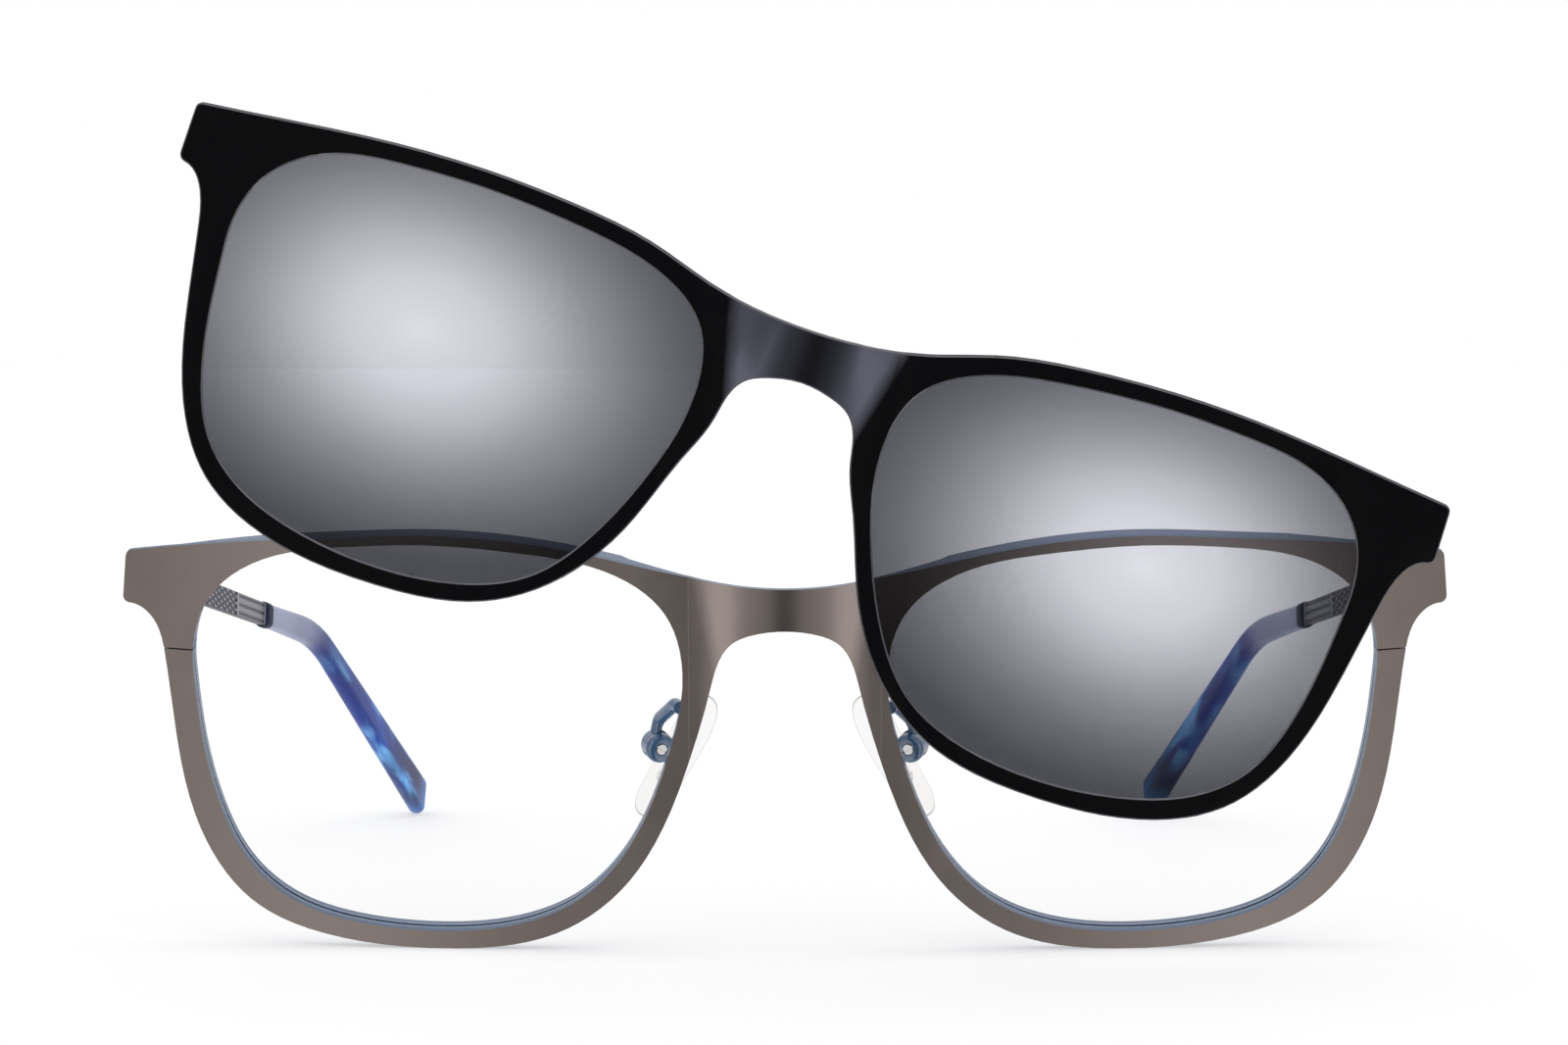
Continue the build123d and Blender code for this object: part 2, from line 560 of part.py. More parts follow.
with BuildPart() as sun_lens:
    seat = opening(CLIP, CLIP_OPENING, 1, CLIP_RABBET - LENS_GAP)
    add(wrapped(CLIP, CLIP_LENS_FRONT, CLIP_LENS_BACK, seat))
save_pair(sun_lens.part, "sun_lens", CLIP_MIDDLE)
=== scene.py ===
from math import cos, radians, sin

import bmesh
import bpy
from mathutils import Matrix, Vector


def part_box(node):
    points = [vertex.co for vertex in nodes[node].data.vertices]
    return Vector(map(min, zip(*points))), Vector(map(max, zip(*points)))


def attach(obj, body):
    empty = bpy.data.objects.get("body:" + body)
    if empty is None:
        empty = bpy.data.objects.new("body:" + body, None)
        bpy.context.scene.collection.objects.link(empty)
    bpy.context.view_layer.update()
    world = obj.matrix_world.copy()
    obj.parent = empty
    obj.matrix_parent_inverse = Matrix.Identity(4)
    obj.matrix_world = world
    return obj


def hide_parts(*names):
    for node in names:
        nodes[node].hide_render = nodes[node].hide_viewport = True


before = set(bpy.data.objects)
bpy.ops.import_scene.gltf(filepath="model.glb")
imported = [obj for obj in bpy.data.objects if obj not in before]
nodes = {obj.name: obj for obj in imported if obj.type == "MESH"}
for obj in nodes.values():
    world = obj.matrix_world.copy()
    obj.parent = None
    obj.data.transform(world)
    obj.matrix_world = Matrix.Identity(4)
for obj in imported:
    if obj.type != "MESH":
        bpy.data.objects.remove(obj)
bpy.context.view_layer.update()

MM = 0.001
SIDES = {"left": -1, "right": 1}

# Lean of the optical front and roll of the clip-on, as in the CAD (degrees).
FRONT_LEAN = 9.66
CLIP_ROLL = 17.92

# Bridges (metres): where the front's bridge is, half its bow, and its slanted flanks.
BRIDGE_AT = Vector((0, -69, 34.3)) * MM
BOW_HALF = 9.95 * MM
FLANK_FROM = 7.2 * MM
FLANK_TO = 8.8 * MM
FRONT_FLANK_SLANT = -0.23
CLIP_FLANK_SLANT = -0.26
# Painted shade: how far the front's legs below the bridge are darkened towards black.
FLANK_PAINTED_SHADE = 0.40
POLISH_FROM = 9 * MM
POLISH_TO = 16 * MM
POLISH_GAIN = 0.18
# How far from the middle of the clip's bridge the painted highlight bands reach.
PAINTED_HIGHLIGHT_REACH = 6 * MM

# Clip-on (metres): broken edges of its sheet, and half the spread of the painted pool of light on each sun
# lens.
SHEET_CHAMFER = 0.16 * MM
SPOT_HALF_W = 32 * MM
SPOT_HALF_H = 23 * MM

# Middle of that spot from the middle of the lens (mm): outwards, up, and down on the lower lens.
SPOT_ASIDE = 3
SPOT_RISE = 3.1
SPOT_DROP = 0.9

# Depth of the finest surface grain (metres).
GRAIN_DEPTH = 0.00002

# Temple strip: hinge place, headings and the profile that carries the pattern (mm).
HINGE_AT = Vector((65.0, -51.3, 38.7))
STRIP_OFFSET = 1.7
TOE_IN = 7.7
TEMPLE_SLOPE = 8.6
STRIP_START = 0.3
STRIP_END = 50.0
STRIP_HALF_T = 0.5
STRIP_HALF_H = (1.45, 1.25)
STRIP_ROWS = 34
STRIP_STEPS = 440
EDGE_BREAK = 0.12
EDGE_BREAK_W = 0.14
DIAMOND_SPAN = (2.2, 33.0)
DIAMOND = (2.6, 0.74)
DIAMOND_DEPTH = 0.16
DIAMOND_LINE = 0.46
DIAMOND_POWER = 1.2
GROOVE_SPAN = (33.6, 46.0)
GROOVE_PITCH = 0.95
GROOVE_LINE = 0.28
GROOVE_STEP = 0.07

# Temple tip and its collar (mm): the bend, and half heights at the collar, the bend and the end.
SECTION_STEPS = 6
SECTION_CORNER = 0.9
COLLAR_SPAN = (46.2, 49.0)
COLLAR_HALF_H = 1.5
COLLAR_HALF_T = 0.85
COLLAR_ROUND = 0.5
TIP_START = 48.6
TIP_FULL = 53.2
BEND_S = 73.0
BEND_RADIUS = 60.0
BEND_STEPS = 10
TIP_DROP = 14.7
TIP_HALF_H = (1.4, 1.55, 2.5)
TIP_HALF_T = 1.1
TIP_START_HALF_T = 0.8
TIP_END_ROUND = 1.2
TIP_END_SIDE = 0.7
TIP_END_SHORT = 0.06
MARBLE_REACH = 91 * MM
MARBLE_STRETCH = 0.8

# Angles (degrees) above which an edge stays sharp.
SWEPT_SHARP = 50
SHEET_SHARP = 50
SHEET_SMOOTH = 35

# Floor, lamp and camera (metres and degrees).
FLOOR_HALF = 6.0
FLOOR_GLOW = 0.46
LAMP_POWER = 0.3
LAMP_SPREAD = 80
LAMP_TILT = 12
ROOM_POWER = 3.0
CAMERA_AT = (-0.0001, -0.5598, 0.0657)
CAMERA_DIP = 2.41
CAMERA_LENS = 110.1
CAMERA_SENSOR = 36.0


# ---------------------------------------------------------------------------
# Node materials
# ---------------------------------------------------------------------------
class Shader:
    """Builds one node material; a socket may be given wherever a value is."""

    def __init__(self, name):
        self.material = bpy.data.materials.new(name)
        self.material.use_nodes = True
        self.tree = self.material.node_tree
        self.tree.nodes.clear()

    def add(self, kind, output=0, values=None, **settings):
        node = self.tree.nodes.new("ShaderNode" + kind)
        for key, value in settings.items():
            setattr(node, key, value)
        for key, value in (values or {}).items():
            socket = node.inputs[key]
            if isinstance(value, bpy.types.NodeSocket):
                self.tree.links.new(value, socket)
            else:
                socket.default_value = value
        return node.outputs[output]

    def place(self, output="Object"):
        return self.add("TexCoord", output)

    def maths(self, operation, a, b=0.0, c=0.0):
        return self.add("Math", values={0: a, 1: b, 2: c}, operation=operation)

    def vector(self, operation, a, b, output=0):
        return self.add("VectorMath", output, {0: a, 1: b}, operation=operation)

    def noise(self, scale, detail=2.0, distortion=0.0, vector=None):
        values = {"Vector": vector or self.place(), "Scale": scale, "Detail": detail,
                  "Distortion": distortion}
        return self.add("TexNoise", values=values)

    def ramp(self, fac, stops, smooth=True):
        node = self.tree.nodes.new("ShaderNodeValToRGB")
        node.color_ramp.interpolation = "EASE" if smooth else "LINEAR"
        elements = node.color_ramp.elements
        while len(elements) < len(stops):
            elements.new(0.5)
        for element, (place, colour) in zip(elements, stops):
            element.position = place
            element.color = (*colour, 1.0)
        self.tree.links.new(fac, node.inputs["Fac"])
        return node.outputs["Color"]

    def mix(self, fac, a, b):
        node = self.tree.nodes.new("ShaderNodeMix")
        node.data_type = "RGBA"
        for key, value in ((0, fac), (6, a), (7, b)):
            if isinstance(value, bpy.types.NodeSocket):
                self.tree.links.new(value, node.inputs[key])
            elif key == 0:
                node.inputs[key].default_value = value
            else:
                node.inputs[key].default_value = (*value, 1.0)
        return node.outputs[2]

    def bump(self, height, strength, distance):
        return self.add("Bump", values={"Height": height, "Strength": strength, "Distance": distance})

    def finish(self, surface):
        output = self.tree.nodes.new("ShaderNodeOutputMaterial")
        self.tree.links.new(surface, output.inputs["Surface"])
        return self.material

    def principled(self, **values):
        return self.add("BsdfPrincipled", values={k.replace("_", " "): v for k, v in values.items()})


def front_direction():
    """Direction that the optical front faces."""
    lean = radians(FRONT_LEAN)
    return Vector((0, -cos(lean), -sin(lean)))


def distance_from_middle(s):
    """Distance from the middle plane of the optical front, in metres."""
    return s.maths("ABSOLUTE", s.vector("DOT_PRODUCT", s.place(), Vector((1, 0, 0)), output="Value"))


def coated_steel_with_painted_shade(name, front, back, rough):
    """Satin coating over sheet steel, smoother on the bridge, with another colour on the back, and painted
    shade darkening the legs below the bridge.
    """
    s = Shader(name)
    facing = s.vector("DOT_PRODUCT", s.place("Normal"), front_direction(), output="Value")
    towards = s.add("MapRange", values={"Value": facing, "From Min": 0.35, "From Max": 0.55})
    cloud = s.noise(260, detail=4)
    front_tone = s.mix(cloud, [c * 0.93 for c in front], [c * 1.07 for c in front])
    back_tone = s.mix(cloud, [c * 0.93 for c in back], [c * 1.07 for c in back])
    colour = s.mix(towards, back_tone, front_tone)
    grain = s.noise(9000, detail=2)
    aside = distance_from_middle(s)
    offset = s.vector("SUBTRACT", s.place(), BRIDGE_AT)
    height = s.vector("DOT_PRODUCT", offset, Vector((0, 0, 1)), output="Value")
    slant = s.maths("MULTIPLY_ADD", height, FRONT_FLANK_SLANT, aside)
    outside = s.add("MapRange", values={"Value": slant, "From Min": FLANK_FROM, "From Max": FLANK_TO})
    # Painted shade: the legs below the bridge, outside the slanted flank line, are darkened towards black.
    painted_shade_leg = s.maths("MULTIPLY", outside, s.maths("LESS_THAN", aside, BOW_HALF))
    colour = s.mix(s.maths("MULTIPLY", painted_shade_leg, FLANK_PAINTED_SHADE), colour, (0.0, 0.0, 0.0))
    away = s.add("MapRange", values={"Value": aside, "From Min": POLISH_FROM, "From Max": POLISH_TO,
                                     "To Min": rough - POLISH_GAIN, "To Max": rough})
    roughness = s.maths("ADD", away, s.maths("MULTIPLY_ADD", cloud, 0.08, -0.04))
    normal = s.bump(grain, 0.12, GRAIN_DEPTH)
    return s.finish(s.principled(Base_Color=colour, Metallic=1.0, Roughness=roughness, Normal=normal))


def black_coat_with_painted_highlight(name, across, up, spot):
    """Deep satin black, with polished metal on the bridge alone that reflects the studio light, and a
    painted highlight in its colour: dark at the bridge's middle, lighter a few mm to each side.
    """
    s = Shader(name)
    cloud = s.noise(400, detail=3)
    normal = s.bump(s.noise(6000, detail=1), 0.08, GRAIN_DEPTH)
    matt = s.principled(Base_Color=s.mix(cloud, (0.0012, 0.0011, 0.0015), (0.0018, 0.0017, 0.0022)),
                        Roughness=0.4, Specular_IOR_Level=0.02, Normal=normal)
    offset = s.vector("SUBTRACT", s.place(), spot)
    away = s.maths("ABSOLUTE", s.vector("DOT_PRODUCT", offset, across, output="Value"))
    # Painted highlight: the polished metal's colour is dark at the bridge's middle and lighter towards its
    # flanks.
    painted_highlight_bands = s.ramp(s.maths("DIVIDE", away, PAINTED_HIGHLIGHT_REACH), [
        (0.0, (0.012, 0.012, 0.016)), (0.35, (0.020, 0.021, 0.027)), (0.85, (0.047, 0.048, 0.062))])
    polished = s.principled(Base_Color=s.mix(s.maths("MULTIPLY", cloud, 0.3), painted_highlight_bands, (0.03, 0.03, 0.04)),
                            Metallic=1.0, Roughness=0.2, Normal=normal)
    height = s.vector("DOT_PRODUCT", offset, up, output="Value")
    slant = s.maths("MULTIPLY_ADD", height, CLIP_FLANK_SLANT, away)
    amount = s.add("MapRange", values={"Value": slant, "From Min": FLANK_FROM, "From Max": FLANK_TO,
                                       "To Min": 1.0, "To Max": 0.0})
    return s.finish(s.add("MixShader", values={0: amount, 1: matt, 2: polished}))


def metal(name, tone, rough):
    """Plain satin metal with a fine grain."""
    s = Shader(name)
    cloud = s.noise(500, detail=4)
    colour = s.mix(cloud, [c * 0.9 for c in tone], [c * 1.1 for c in tone])
    roughness = s.maths("MULTIPLY_ADD", cloud, 0.1, rough - 0.05)
    normal = s.bump(s.noise(7000), 0.1, GRAIN_DEPTH)
    return s.finish(s.principled(Base_Color=colour, Metallic=1.0, Roughness=roughness, Normal=normal))


def engraved_steel(name, high, low, rough):
    """Bright relief over a darkened ground, by the depth written on the mesh."""
    s = Shader(name)
    depth = s.add("Attribute", "Fac", attribute_name="depth")
    cloud = s.noise(700, detail=3)
    ground = s.mix(cloud, [c * 0.85 for c in low], [c * 1.15 for c in low])
    colour = s.mix(s.ramp(depth, [(0.25, (0, 0, 0)), (0.75, (1, 1, 1))]), high, ground)
    roughness = s.maths("MULTIPLY_ADD", depth, 0.2, rough)
    normal = s.bump(s.noise(7000), 0.08, GRAIN_DEPTH)
    return s.finish(s.principled(Base_Color=colour, Metallic=1.0, Roughness=roughness, Normal=normal))


def lacquer(name, tone, rough, coat, metallic=0.0, specular=0.5):
    """Lacquered metal: slight orange peel under a clear coat."""
    s = Shader(name)
    cloud = s.noise(400, detail=3)
    colour = s.mix(cloud, [c * 0.9 for c in tone], [c * 1.1 for c in tone])
    normal = s.bump(s.noise(2500, detail=1), 0.08, GRAIN_DEPTH)
    roughness = s.maths("MULTIPLY_ADD", cloud, 0.08, rough - 0.04)
    return s.finish(s.principled(Base_Color=colour, Metallic=metallic, Roughness=roughness,
                                 Specular_IOR_Level=specular, Coat_Weight=coat, Coat_Roughness=0.08,
                                 Normal=normal))


def clear_sheet(name, tone, gloss):
    """Thin clear plastic: what is behind it shows, with a slight tint and a soft shine."""
    s = Shader(name)
    haze = s.noise(300, detail=3)
    tint = s.mix(haze, [c * 0.995 for c in tone], tone)
    through = s.add("BsdfTransparent", values={"Color": tint})
    roughness = s.maths("MULTIPLY_ADD", haze, 0.03, 0.03)
    shine = s.principled(Base_Color=(0.9, 0.92, 0.94, 1), Roughness=roughness)
    edge = s.add("LayerWeight", "Facing", {"Blend": 0.35})
    amount = s.maths("MULTIPLY", s.maths("POWER", edge, 3.0), gloss)
    return s.finish(s.add("MixShader", values={0: amount, 1: through, 2: shine}))


def lens_tint_with_painted_glow(name, middle, across, up):
    """Grey sun lens with a painted pool of light: lighter about a spot above its middle, darker towards
    its rim.
    """
    s = Shader(name)
    offset = s.vector("SUBTRACT", s.place(), middle)
    x = s.maths("DIVIDE", s.vector("DOT_PRODUCT", offset, across, output="Value"), SPOT_HALF_W)
    y = s.maths("DIVIDE", s.vector("DOT_PRODUCT", offset, up, output="Value"), SPOT_HALF_H)
    radius = s.maths("SQRT", s.maths("ADD", s.maths("MULTIPLY", x, x), s.maths("MULTIPLY", y, y)))
    radius = s.maths("ADD", radius, s.maths("MULTIPLY_ADD", s.noise(60), 0.04, -0.02))
    # Painted pool of light: the see-through colour is lightest about the spot and darkest at the rim.
    tint = s.ramp(radius, [(0.0, (0.87, 0.875, 0.91)), (0.25, (0.79, 0.795, 0.83)),
                           (0.40, (0.69, 0.695, 0.725)), (0.60, (0.52, 0.525, 0.55)),
                           (0.80, (0.38, 0.385, 0.41)), (1.0, (0.27, 0.275, 0.295))], smooth=False)
    through = s.add("BsdfTransparent", values={"Color": tint})
    shine = s.principled(Base_Color=(0.02, 0.02, 0.022, 1), Roughness=0.06)
    edge = s.add("LayerWeight", "Facing", {"Blend": 0.3})
    amount = s.maths("MULTIPLY_ADD", s.maths("POWER", edge, 3.0), 0.6, 0.03)
    return s.finish(s.add("MixShader", values={0: amount, 1: through, 2: shine}))


def marbled(name, start, along):
    """Marbled blue plastic: pale near the collar, deep blue with light clouds further on."""
    s = Shader(name)
    offset = s.vector("SUBTRACT", s.place(), start)
    distance = s.vector("DOT_PRODUCT", offset, along, output="Value")
    reach = s.maths("DIVIDE", distance, MARBLE_REACH)
    stretch = s.maths("MULTIPLY", distance, MARBLE_STRETCH)
    drawn = s.add("VectorMath", values={0: along, "Scale": stretch}, operation="SCALE")
    grain = s.vector("SUBTRACT", offset, drawn)
    wide = s.noise(210, detail=1, distortion=0.3, vector=grain)
    fine = s.noise(480, detail=2, distortion=0.5, vector=grain)
    where = s.maths("ADD", reach, s.maths("MULTIPLY_ADD", wide, 0.10, -0.05))
    body = s.ramp(where, [(0.0, (0.27, 0.30, 0.40)), (0.19, (0.19, 0.21, 0.31)),
                          (0.31, (0.014, 0.026, 0.13)), (0.60, (0.008, 0.026, 0.19)),
                          (0.88, (0.010, 0.012, 0.06)), (1.0, (0.10, 0.22, 0.55))])
    patch = s.ramp(s.maths("ADD", s.maths("MULTIPLY", wide, 0.7), s.maths("MULTIPLY", fine, 0.3)),
                   [(0.42, (0, 0, 0)), (0.66, (1, 1, 1))])
    light = s.ramp(fine, [(0.40, (0.012, 0.10, 0.50)), (0.62, (0.16, 0.42, 0.78))])
    clouded = s.add("MapRange", values={"Value": reach, "From Min": 0.28, "From Max": 0.46})
    colour = s.mix(s.maths("MULTIPLY", patch, clouded), body, light)
    normal = s.bump(fine, 0.03, 0.0001)
    return s.finish(s.principled(Base_Color=colour, Roughness=0.3, Specular_IOR_Level=0.03, Normal=normal))


def soft_pad_with_painted_shade(name):
    """Clear silicone with a slight haze, and painted shade darkening it towards its edges as seen."""
    s = Shader(name)
    haze = s.noise(500, detail=3)
    edge = s.add("LayerWeight", "Facing", {"Blend": 0.5})
    # Painted shade: the see-through colour darkens where the surface turns away from view, drawing grey
    # outlines.
    outline = s.ramp(edge, [(0.53, (0.985, 0.98, 0.975)), (0.70, (0.85, 0.84, 0.83)),
                            (0.86, (0.47, 0.46, 0.45)), (0.97, (0.36, 0.35, 0.34))])
    tint = s.mix(s.maths("MULTIPLY", haze, 0.15), outline, (0.96, 0.96, 0.96))
    through = s.add("BsdfTransparent", values={"Color": tint})
    body = s.principled(Base_Color=(0.6, 0.6, 0.6, 1), Roughness=s.maths("MULTIPLY_ADD", haze, 0.1, 0.2),
                        Specular_IOR_Level=0.3)
    return s.finish(s.add("MixShader", values={0: 0.04, 1: through, 2: body}))


def paint(node, material):
    """Give a whole CAD node one material."""
    mesh = nodes[node].data
    mesh.materials.clear()
    mesh.materials.append(material)


def paint_pair(name, material):
    for side in SIDES:
        paint(f"{name}_{side}", material)


TAUPE = (0.120, 0.101, 0.093)
RIM_BLUE = (0.026, 0.070, 0.145)
front_steel = coated_steel_with_painted_shade("front_steel_coat_painted_shade", TAUPE, RIM_BLUE, 0.36)
hinge_steel = metal("hinge_steel", (0.20, 0.18, 0.18), 0.34)
strip_steel = engraved_steel("strip_steel", (0.27, 0.27, 0.31), (0.035, 0.035, 0.050), 0.25)
rim_lacquer = lacquer("rim_lacquer", RIM_BLUE, 0.4, 0.15, metallic=0.3)
arm_lacquer = lacquer("arm_lacquer", (0.022, 0.062, 0.13), 0.25, 0.6)
bright = metal("bright_screw", (0.34, 0.34, 0.34), 0.12)
nickel = metal("nickel_magnet", (0.55, 0.55, 0.58), 0.25)
navy = lacquer("collar_navy", (0.010, 0.014, 0.034), 0.5, 0.0, specular=0.08)
demo_clear = clear_sheet("demo_lens_clear", (0.99, 0.99, 0.988), 0.5)
pad_clear = soft_pad_with_painted_shade("pad_silicone_painted_shade")

paint("front_plate", front_steel)
for name in ("end_piece", "front_hinge", "temple_hinge"):
    paint_pair(name, hinge_steel)
for name in ("eyewire", "rim_lock_lower", "rim_lock_upper"):
    paint_pair(name, rim_lacquer)
for name in ("rim_lock_screw", "hinge_screw", "pad_screw", "pad_insert"):
    paint_pair(name, bright)
for name in ("frame_magnet", "clip_magnet"):
    paint_pair(name, nickel)
paint("frame_bridge_magnet", nickel)
paint("clip_bridge_magnet", nickel)
paint("frame_magnet_cup", rim_lacquer)
paint_pair("demo_lens", demo_clear)
paint_pair("pad_arm", arm_lacquer)
paint_pair("nose_pad", pad_clear)
paint_pair("tip_collar", navy)

roll = radians(CLIP_ROLL)
clip_across = Vector((cos(roll), 0, -sin(roll)))
clip_up = Vector((sin(roll), 0, cos(roll)))
low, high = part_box("clip_bridge_magnet")
clip_coat_painted_highlight = black_coat_with_painted_highlight("clip_coat_painted_highlight", clip_across, clip_up, (low + high) / 2)
# Lighter metal for the clip's broken edges: a painted highlight line along every edge.
clip_edge_painted_highlight = metal("clip_edge_painted_highlight", (0.085, 0.085, 0.095), 0.35)
for side, sign in SIDES.items():
    low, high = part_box(f"sun_lens_{side}")
    middle = (low + high) / 2 + Vector((SPOT_ASIDE * sign, 0, SPOT_RISE - SPOT_DROP * sign)) * MM
    paint(f"sun_lens_{side}", lens_tint_with_painted_glow(f"sun_tint_painted_glow_{side}", middle, clip_across, clip_up))


# ---------------------------------------------------------------------------
# Temple strips: diamond relief, then grooves along the strip before the collar
# ---------------------------------------------------------------------------
def temple_axes(sign):
    """Start, direction along, upward and outward of a temple, in metres."""
    toe = radians(TOE_IN)
    slope = radians(TEMPLE_SLOPE)
    outward = Vector((sign * cos(toe), sin(toe), 0))
    along = Vector((-sign * sin(toe) * cos(slope), cos(toe) * cos(slope), -sin(slope)))
    start = Vector((sign * HINGE_AT.x, HINGE_AT.y, HINGE_AT.z)) + outward * STRIP_OFFSET
    return start * MM, along, outward.cross(along) * sign, outward


def relief(s, t, half_h):
    """Depth of the engraving at a place on the strip's wide faces, in mm."""
    edge = EDGE_BREAK * max(0.0, 1 - (half_h - abs(t)) / EDGE_BREAK_W)
    if DIAMOND_SPAN[0] < s < DIAMOND_SPAN[1]:
        along, across = s / DIAMOND[0], t / DIAMOND[1]
        lines = [abs((w + 0.5) % 1.0 - 0.5) for w in (along + across, along - across)]
        return max(edge, DIAMOND_DEPTH * (1 - min(1.0, min(lines) / DIAMOND_LINE) ** DIAMOND_POWER))
    if GROOVE_SPAN[0] < s < GROOVE_SPAN[1]:
        from_line = abs((t / GROOVE_PITCH + 0.5) % 1.0 - 0.5)
        return max(edge, GROOVE_STEP + GROOVE_STEP * max(0.0, 1 - from_line / GROOVE_LINE))
    return edge


def temple_strip(side, sign):
    """Closed strip, ring by ring, with the relief on both wide faces."""
    start, along, up, outward = temple_axes(sign)
    mesh = bmesh.new()
    rings = []
    depth_layer = mesh.verts.layers.float.new("depth")
    for i in range(STRIP_STEPS + 1):
        s = STRIP_START + (STRIP_END - STRIP_START) * i / STRIP_STEPS
        half_h = STRIP_HALF_H[0] + (STRIP_HALF_H[1] - STRIP_HALF_H[0]) * i / STRIP_STEPS
        ring = []
        for face in (1, -1):
            for j in range(STRIP_ROWS + 1):
                t = face * half_h * (2 * j / STRIP_ROWS - 1)
                depth = relief(s, t, half_h)
                z = face * (STRIP_HALF_T - depth)
                vert = mesh.verts.new(start + (along * s + up * t + outward * z) * MM)
                vert[depth_layer] = depth / DIAMOND_DEPTH
                ring.append(vert)
        rings.append(ring)
    for here, there in zip(rings, rings[1:]):
        for j, vert in enumerate(here):
            k = (j + 1) % len(here)
            mesh.faces.new((vert, here[k], there[k], there[j]))
    mesh.faces.new(rings[0])
    mesh.faces.new(rings[-1])
    bmesh.ops.recalc_face_normals(mesh, faces=mesh.faces)
    return new_piece(f"temple_strip_{side}", mesh, strip_steel, smooth_angle=SWEPT_SHARP)


def rounded_section(half_h, half_t, corner):
    """Corner-rounded outline as (height, thickness) pairs."""
    outline = []
    for quarter in range(4):
        side_h = 1 if quarter in (0, 3) else -1
        side_t = 1 if quarter in (0, 1) else -1
        for step in range(SECTION_STEPS + 1):
            angle = radians(90 * (quarter + step / SECTION_STEPS))
            outline.append((side_h * (half_h - corner) + corner * cos(angle),
                            side_t * (half_t - corner) + corner * sin(angle)))
    return outline


def swept(name, sign, stations, material):
    """Closed body through rounded sections on the temple.

    A station is its place along, its height, its drop in radians, its half height and half thickness.
    """
    start, along, up, outward = temple_axes(sign)
    mesh = bmesh.new()
    rings = []
    for s, t, drop, half_h, half_t in stations:
        centre = along * s + up * t
        rise = along * sin(drop) + up * cos(drop)
        rings.append([mesh.verts.new(start + (centre + rise * h + outward * q) * MM)
                      for h, q in rounded_section(half_h, half_t, SECTION_CORNER * half_t)])
    for here, there in zip(rings, rings[1:]):
        for j, vert in enumerate(here):
            k = (j + 1) % len(here)
            mesh.faces.new((vert, here[k], there[k], there[j]))
    mesh.faces.new(rings[0])
    mesh.faces.new(rings[-1])
    bmesh.ops.recalc_face_normals(mesh, faces=mesh.faces)
    return new_piece(name, mesh, material, smooth_angle=SWEPT_SHARP)


def quarter_turns():
    return [radians(90 * step / SECTION_STEPS) for step in range(SECTION_STEPS + 1)]


def band_stations(span, half_h, half_t, end_round):
    """Sections of a straight band whose two ends are rounded."""
    ends = [(end_round * (1 - cos(turn)), end_round * (1 - sin(turn))) for turn in quarter_turns()]
    first = [(span[0] + back, 0, 0, half_h - inset, half_t - inset) for back, inset in ends]
    last = [(span[1] - back, 0, 0, half_h - inset, half_t - inset) for back, inset in ends[::-1]]
    return first + last


def tip_stations():
    """Sections of the tip: level, then round the bend, then down to its rounded end."""
    drop = radians(TIP_DROP)
    dip = radians(TEMPLE_SLOPE + TIP_DROP)
    end_h = TIP_HALF_H[2]
    corner = end_h * cos(dip) - TIP_END_ROUND * (sin(dip) + cos(dip) - 1)
    reach = (HINGE_AT.z - BEND_S * sin(radians(TEMPLE_SLOPE)) - corner) / sin(dip) - TIP_END_SHORT
    before = BEND_RADIUS * sin(drop / 2) / cos(drop / 2)
    stations = [(TIP_START, 0, 0, TIP_HALF_H[0], TIP_START_HALF_T),
                (TIP_FULL, 0, 0, TIP_HALF_H[0], TIP_HALF_T)]
    for step in range(BEND_STEPS + 1):
        turn = drop * step / BEND_STEPS
        stations.append((BEND_S - before + BEND_RADIUS * sin(turn), BEND_RADIUS * (cos(turn) - 1), turn,
                         TIP_HALF_H[1], TIP_HALF_T))
    for turn in quarter_turns():
        far = reach - TIP_END_ROUND * (1 - sin(turn))
        inset = 1 - cos(turn)
        stations.append((BEND_S + far * cos(drop), -far * sin(drop), drop,
                         end_h - TIP_END_ROUND * inset, TIP_HALF_T - TIP_END_SIDE * inset))
    return stations


def new_piece(name, mesh, material, smooth_angle=None):
    """Turn a bmesh into an object with one material."""
    data = bpy.data.meshes.new(name)
    mesh.to_mesh(data)
    mesh.free()
    data.materials.append(material)
    piece = bpy.data.objects.new(name, data)
    bpy.context.scene.collection.objects.link(piece)
    if smooth_angle is not None:
        data.shade_smooth()
        data.set_sharp_from_angle(angle=radians(smooth_angle))
    return piece


def chamfered_sheet(node, name, body, material):
    """The node's sheet again, with every sharp edge broken so that it catches the light."""
    mesh = bmesh.new()
    mesh.from_mesh(nodes[node].data)
    bmesh.ops.remove_doubles(mesh, verts=mesh.verts, dist=1e-7)
    sharp = [edge for edge in mesh.edges
             if edge.is_manifold and edge.calc_face_angle() > radians(SHEET_SHARP)]
    bmesh.ops.bevel(mesh, geom=sharp, offset=SHEET_CHAMFER, offset_type="OFFSET", segments=1,
                    profile=0.5, affect="EDGES", clamp_overlap=False, material=1,
                    miter_outer="SHARP", miter_inner="SHARP")
    sheet = new_piece(name, mesh, material, smooth_angle=SHEET_SMOOTH)
    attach(sheet, body)
    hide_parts(node)
    return sheet


dark_front = chamfered_sheet("clip_front", "clip_sheet", "sun_clip", clip_coat_painted_highlight)
# The chamfer faces take this lighter metal as a painted highlight; the chamfers also catch real light.
dark_front.data.materials.append(clip_edge_painted_highlight)

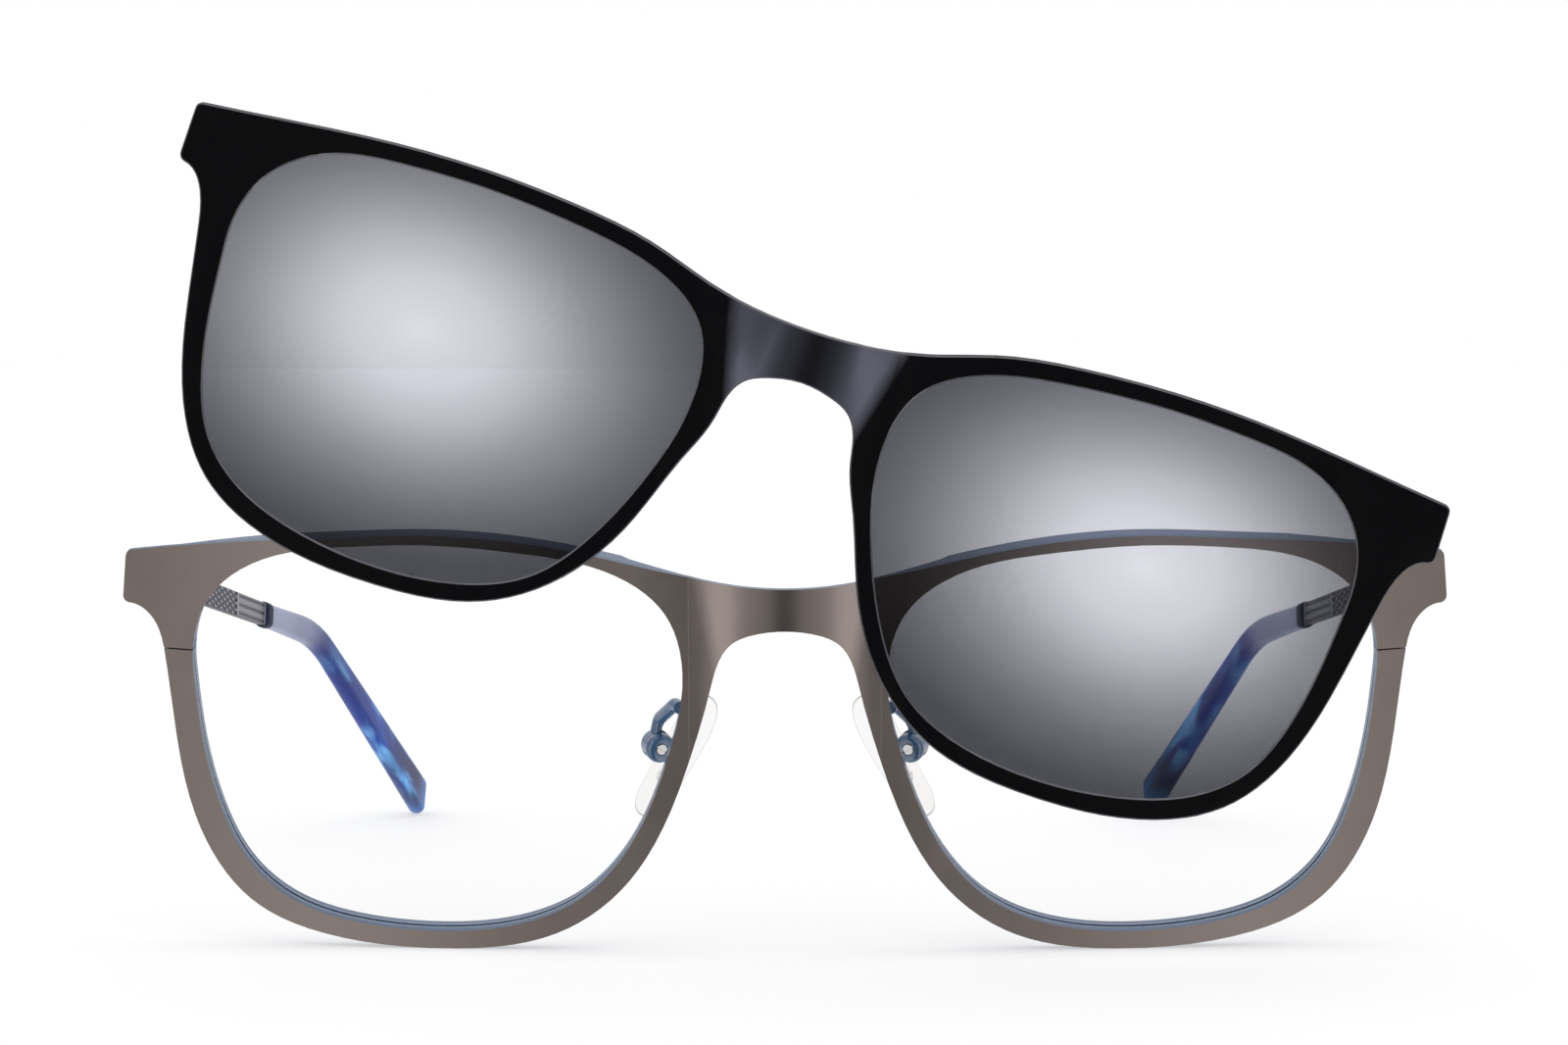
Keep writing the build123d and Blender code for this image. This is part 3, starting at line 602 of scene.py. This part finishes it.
for side, sign in SIDES.items():
    strip = temple_strip(side, sign)
    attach(strip, f"temple_{side}")
    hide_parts(f"temple_{side}")
    start, along, up, outward = temple_axes(sign)
    drop = radians(TIP_DROP)
    tip_along = along * cos(drop) - up * sin(drop)
    marble = marbled(f"tip_marble_{side}", start + along * TIP_START * MM, tip_along)
    tip = swept(f"tip_body_{side}", sign, tip_stations(), marble)
    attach(tip, f"temple_{side}")
    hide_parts(f"temple_tip_{side}")
    collar = band_stations(COLLAR_SPAN, COLLAR_HALF_H, COLLAR_HALF_T, COLLAR_ROUND)
    band = swept(f"collar_band_{side}", sign, collar, navy)
    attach(band, f"temple_{side}")
    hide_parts(f"tip_collar_{side}")

# ---------------------------------------------------------------------------
# Floor, light and camera
# ---------------------------------------------------------------------------
floor_mesh = bmesh.new()
bmesh.ops.create_grid(floor_mesh, x_segments=1, y_segments=1, size=FLOOR_HALF)
floor_shader = Shader("pale_floor")
floor_tone = floor_shader.mix(floor_shader.noise(3), (0.395, 0.395, 0.395), (0.405, 0.405, 0.405))
floor_paint = floor_shader.finish(floor_shader.principled(
    Base_Color=floor_tone, Roughness=0.8, Specular_IOR_Level=0.1,
    Emission_Color=(1, 1, 1, 1), Emission_Strength=FLOOR_GLOW))
floor = new_piece("floor", floor_mesh, floor_paint)
floor.visible_glossy = False
floor.visible_shadow = False

# The clip-on is held far in front in use of the studio light, so it keeps out of reflections.
for piece in (dark_front, nodes["sun_lens_left"], nodes["sun_lens_right"]):
    piece.visible_glossy = False

sky = bpy.data.lights.new("overhead", "SUN")
sky.energy = LAMP_POWER
sky.angle = radians(LAMP_SPREAD)
lamp = bpy.data.objects.new("overhead", sky)
lamp.rotation_euler = (radians(LAMP_TILT), 0, 0)
bpy.context.scene.collection.objects.link(lamp)

# Studio surroundings: white behind, dark beside the camera, and a tall light panel on each side of it.
world = bpy.data.worlds.new("studio")
bpy.context.scene.world = world
world.use_nodes = True
room = Shader("studio_room")
room.tree = world.node_tree
room.tree.nodes.clear()
heading = room.add("TexCoord", "Generated")
aside = room.maths("ABSOLUTE", room.vector("DOT_PRODUCT", heading, Vector((1, 0, 0)), output="Value"))
ahead = room.vector("DOT_PRODUCT", heading, Vector((0, 1, 0)), output="Value")
height = room.vector("DOT_PRODUCT", heading, Vector((0, 0, 1)), output="Value")
levels = [(0.0, 0.08), (0.06, 0.15), (0.12, 0.38), (0.30, 0.48),
          (0.40, 0.95), (0.50, 0.95), (0.62, 0.38), (1.0, 0.35)]
panels = room.ramp(aside, [(place, (level,) * 3) for place, level in levels])
behind = room.add("MapRange", values={"Value": ahead, "From Min": -0.1, "From Max": 0.3})
above = room.add("MapRange", values={"Value": height, "From Min": 0.35, "From Max": 0.75})
light_tone = room.mix(above, room.mix(behind, panels, (0.31, 0.31, 0.32)), (0.46, 0.46, 0.465))
around = room.add("Background", values={"Color": light_tone, "Strength": ROOM_POWER})
pale = room.add("Background", values={"Color": (1, 1, 1, 1), "Strength": 1.0})
seen = room.add("LightPath", "Is Camera Ray")
both = room.add("MixShader", values={0: seen, 1: around, 2: pale})
surround = room.tree.nodes.new("ShaderNodeOutputWorld")
room.tree.links.new(both, surround.inputs["Surface"])
bpy.data.materials.remove(room.material)

camera_data = bpy.data.cameras.new("camera")
camera_data.lens = CAMERA_LENS
camera_data.sensor_width = CAMERA_SENSOR
camera_data.clip_start = 0.01
camera = bpy.data.objects.new("camera", camera_data)
camera.location = CAMERA_AT
camera.rotation_euler = (radians(90 - CAMERA_DIP), 0, 0)
bpy.context.scene.collection.objects.link(camera)
bpy.context.scene.camera = camera
bpy.context.scene.view_settings.view_transform = "Standard"
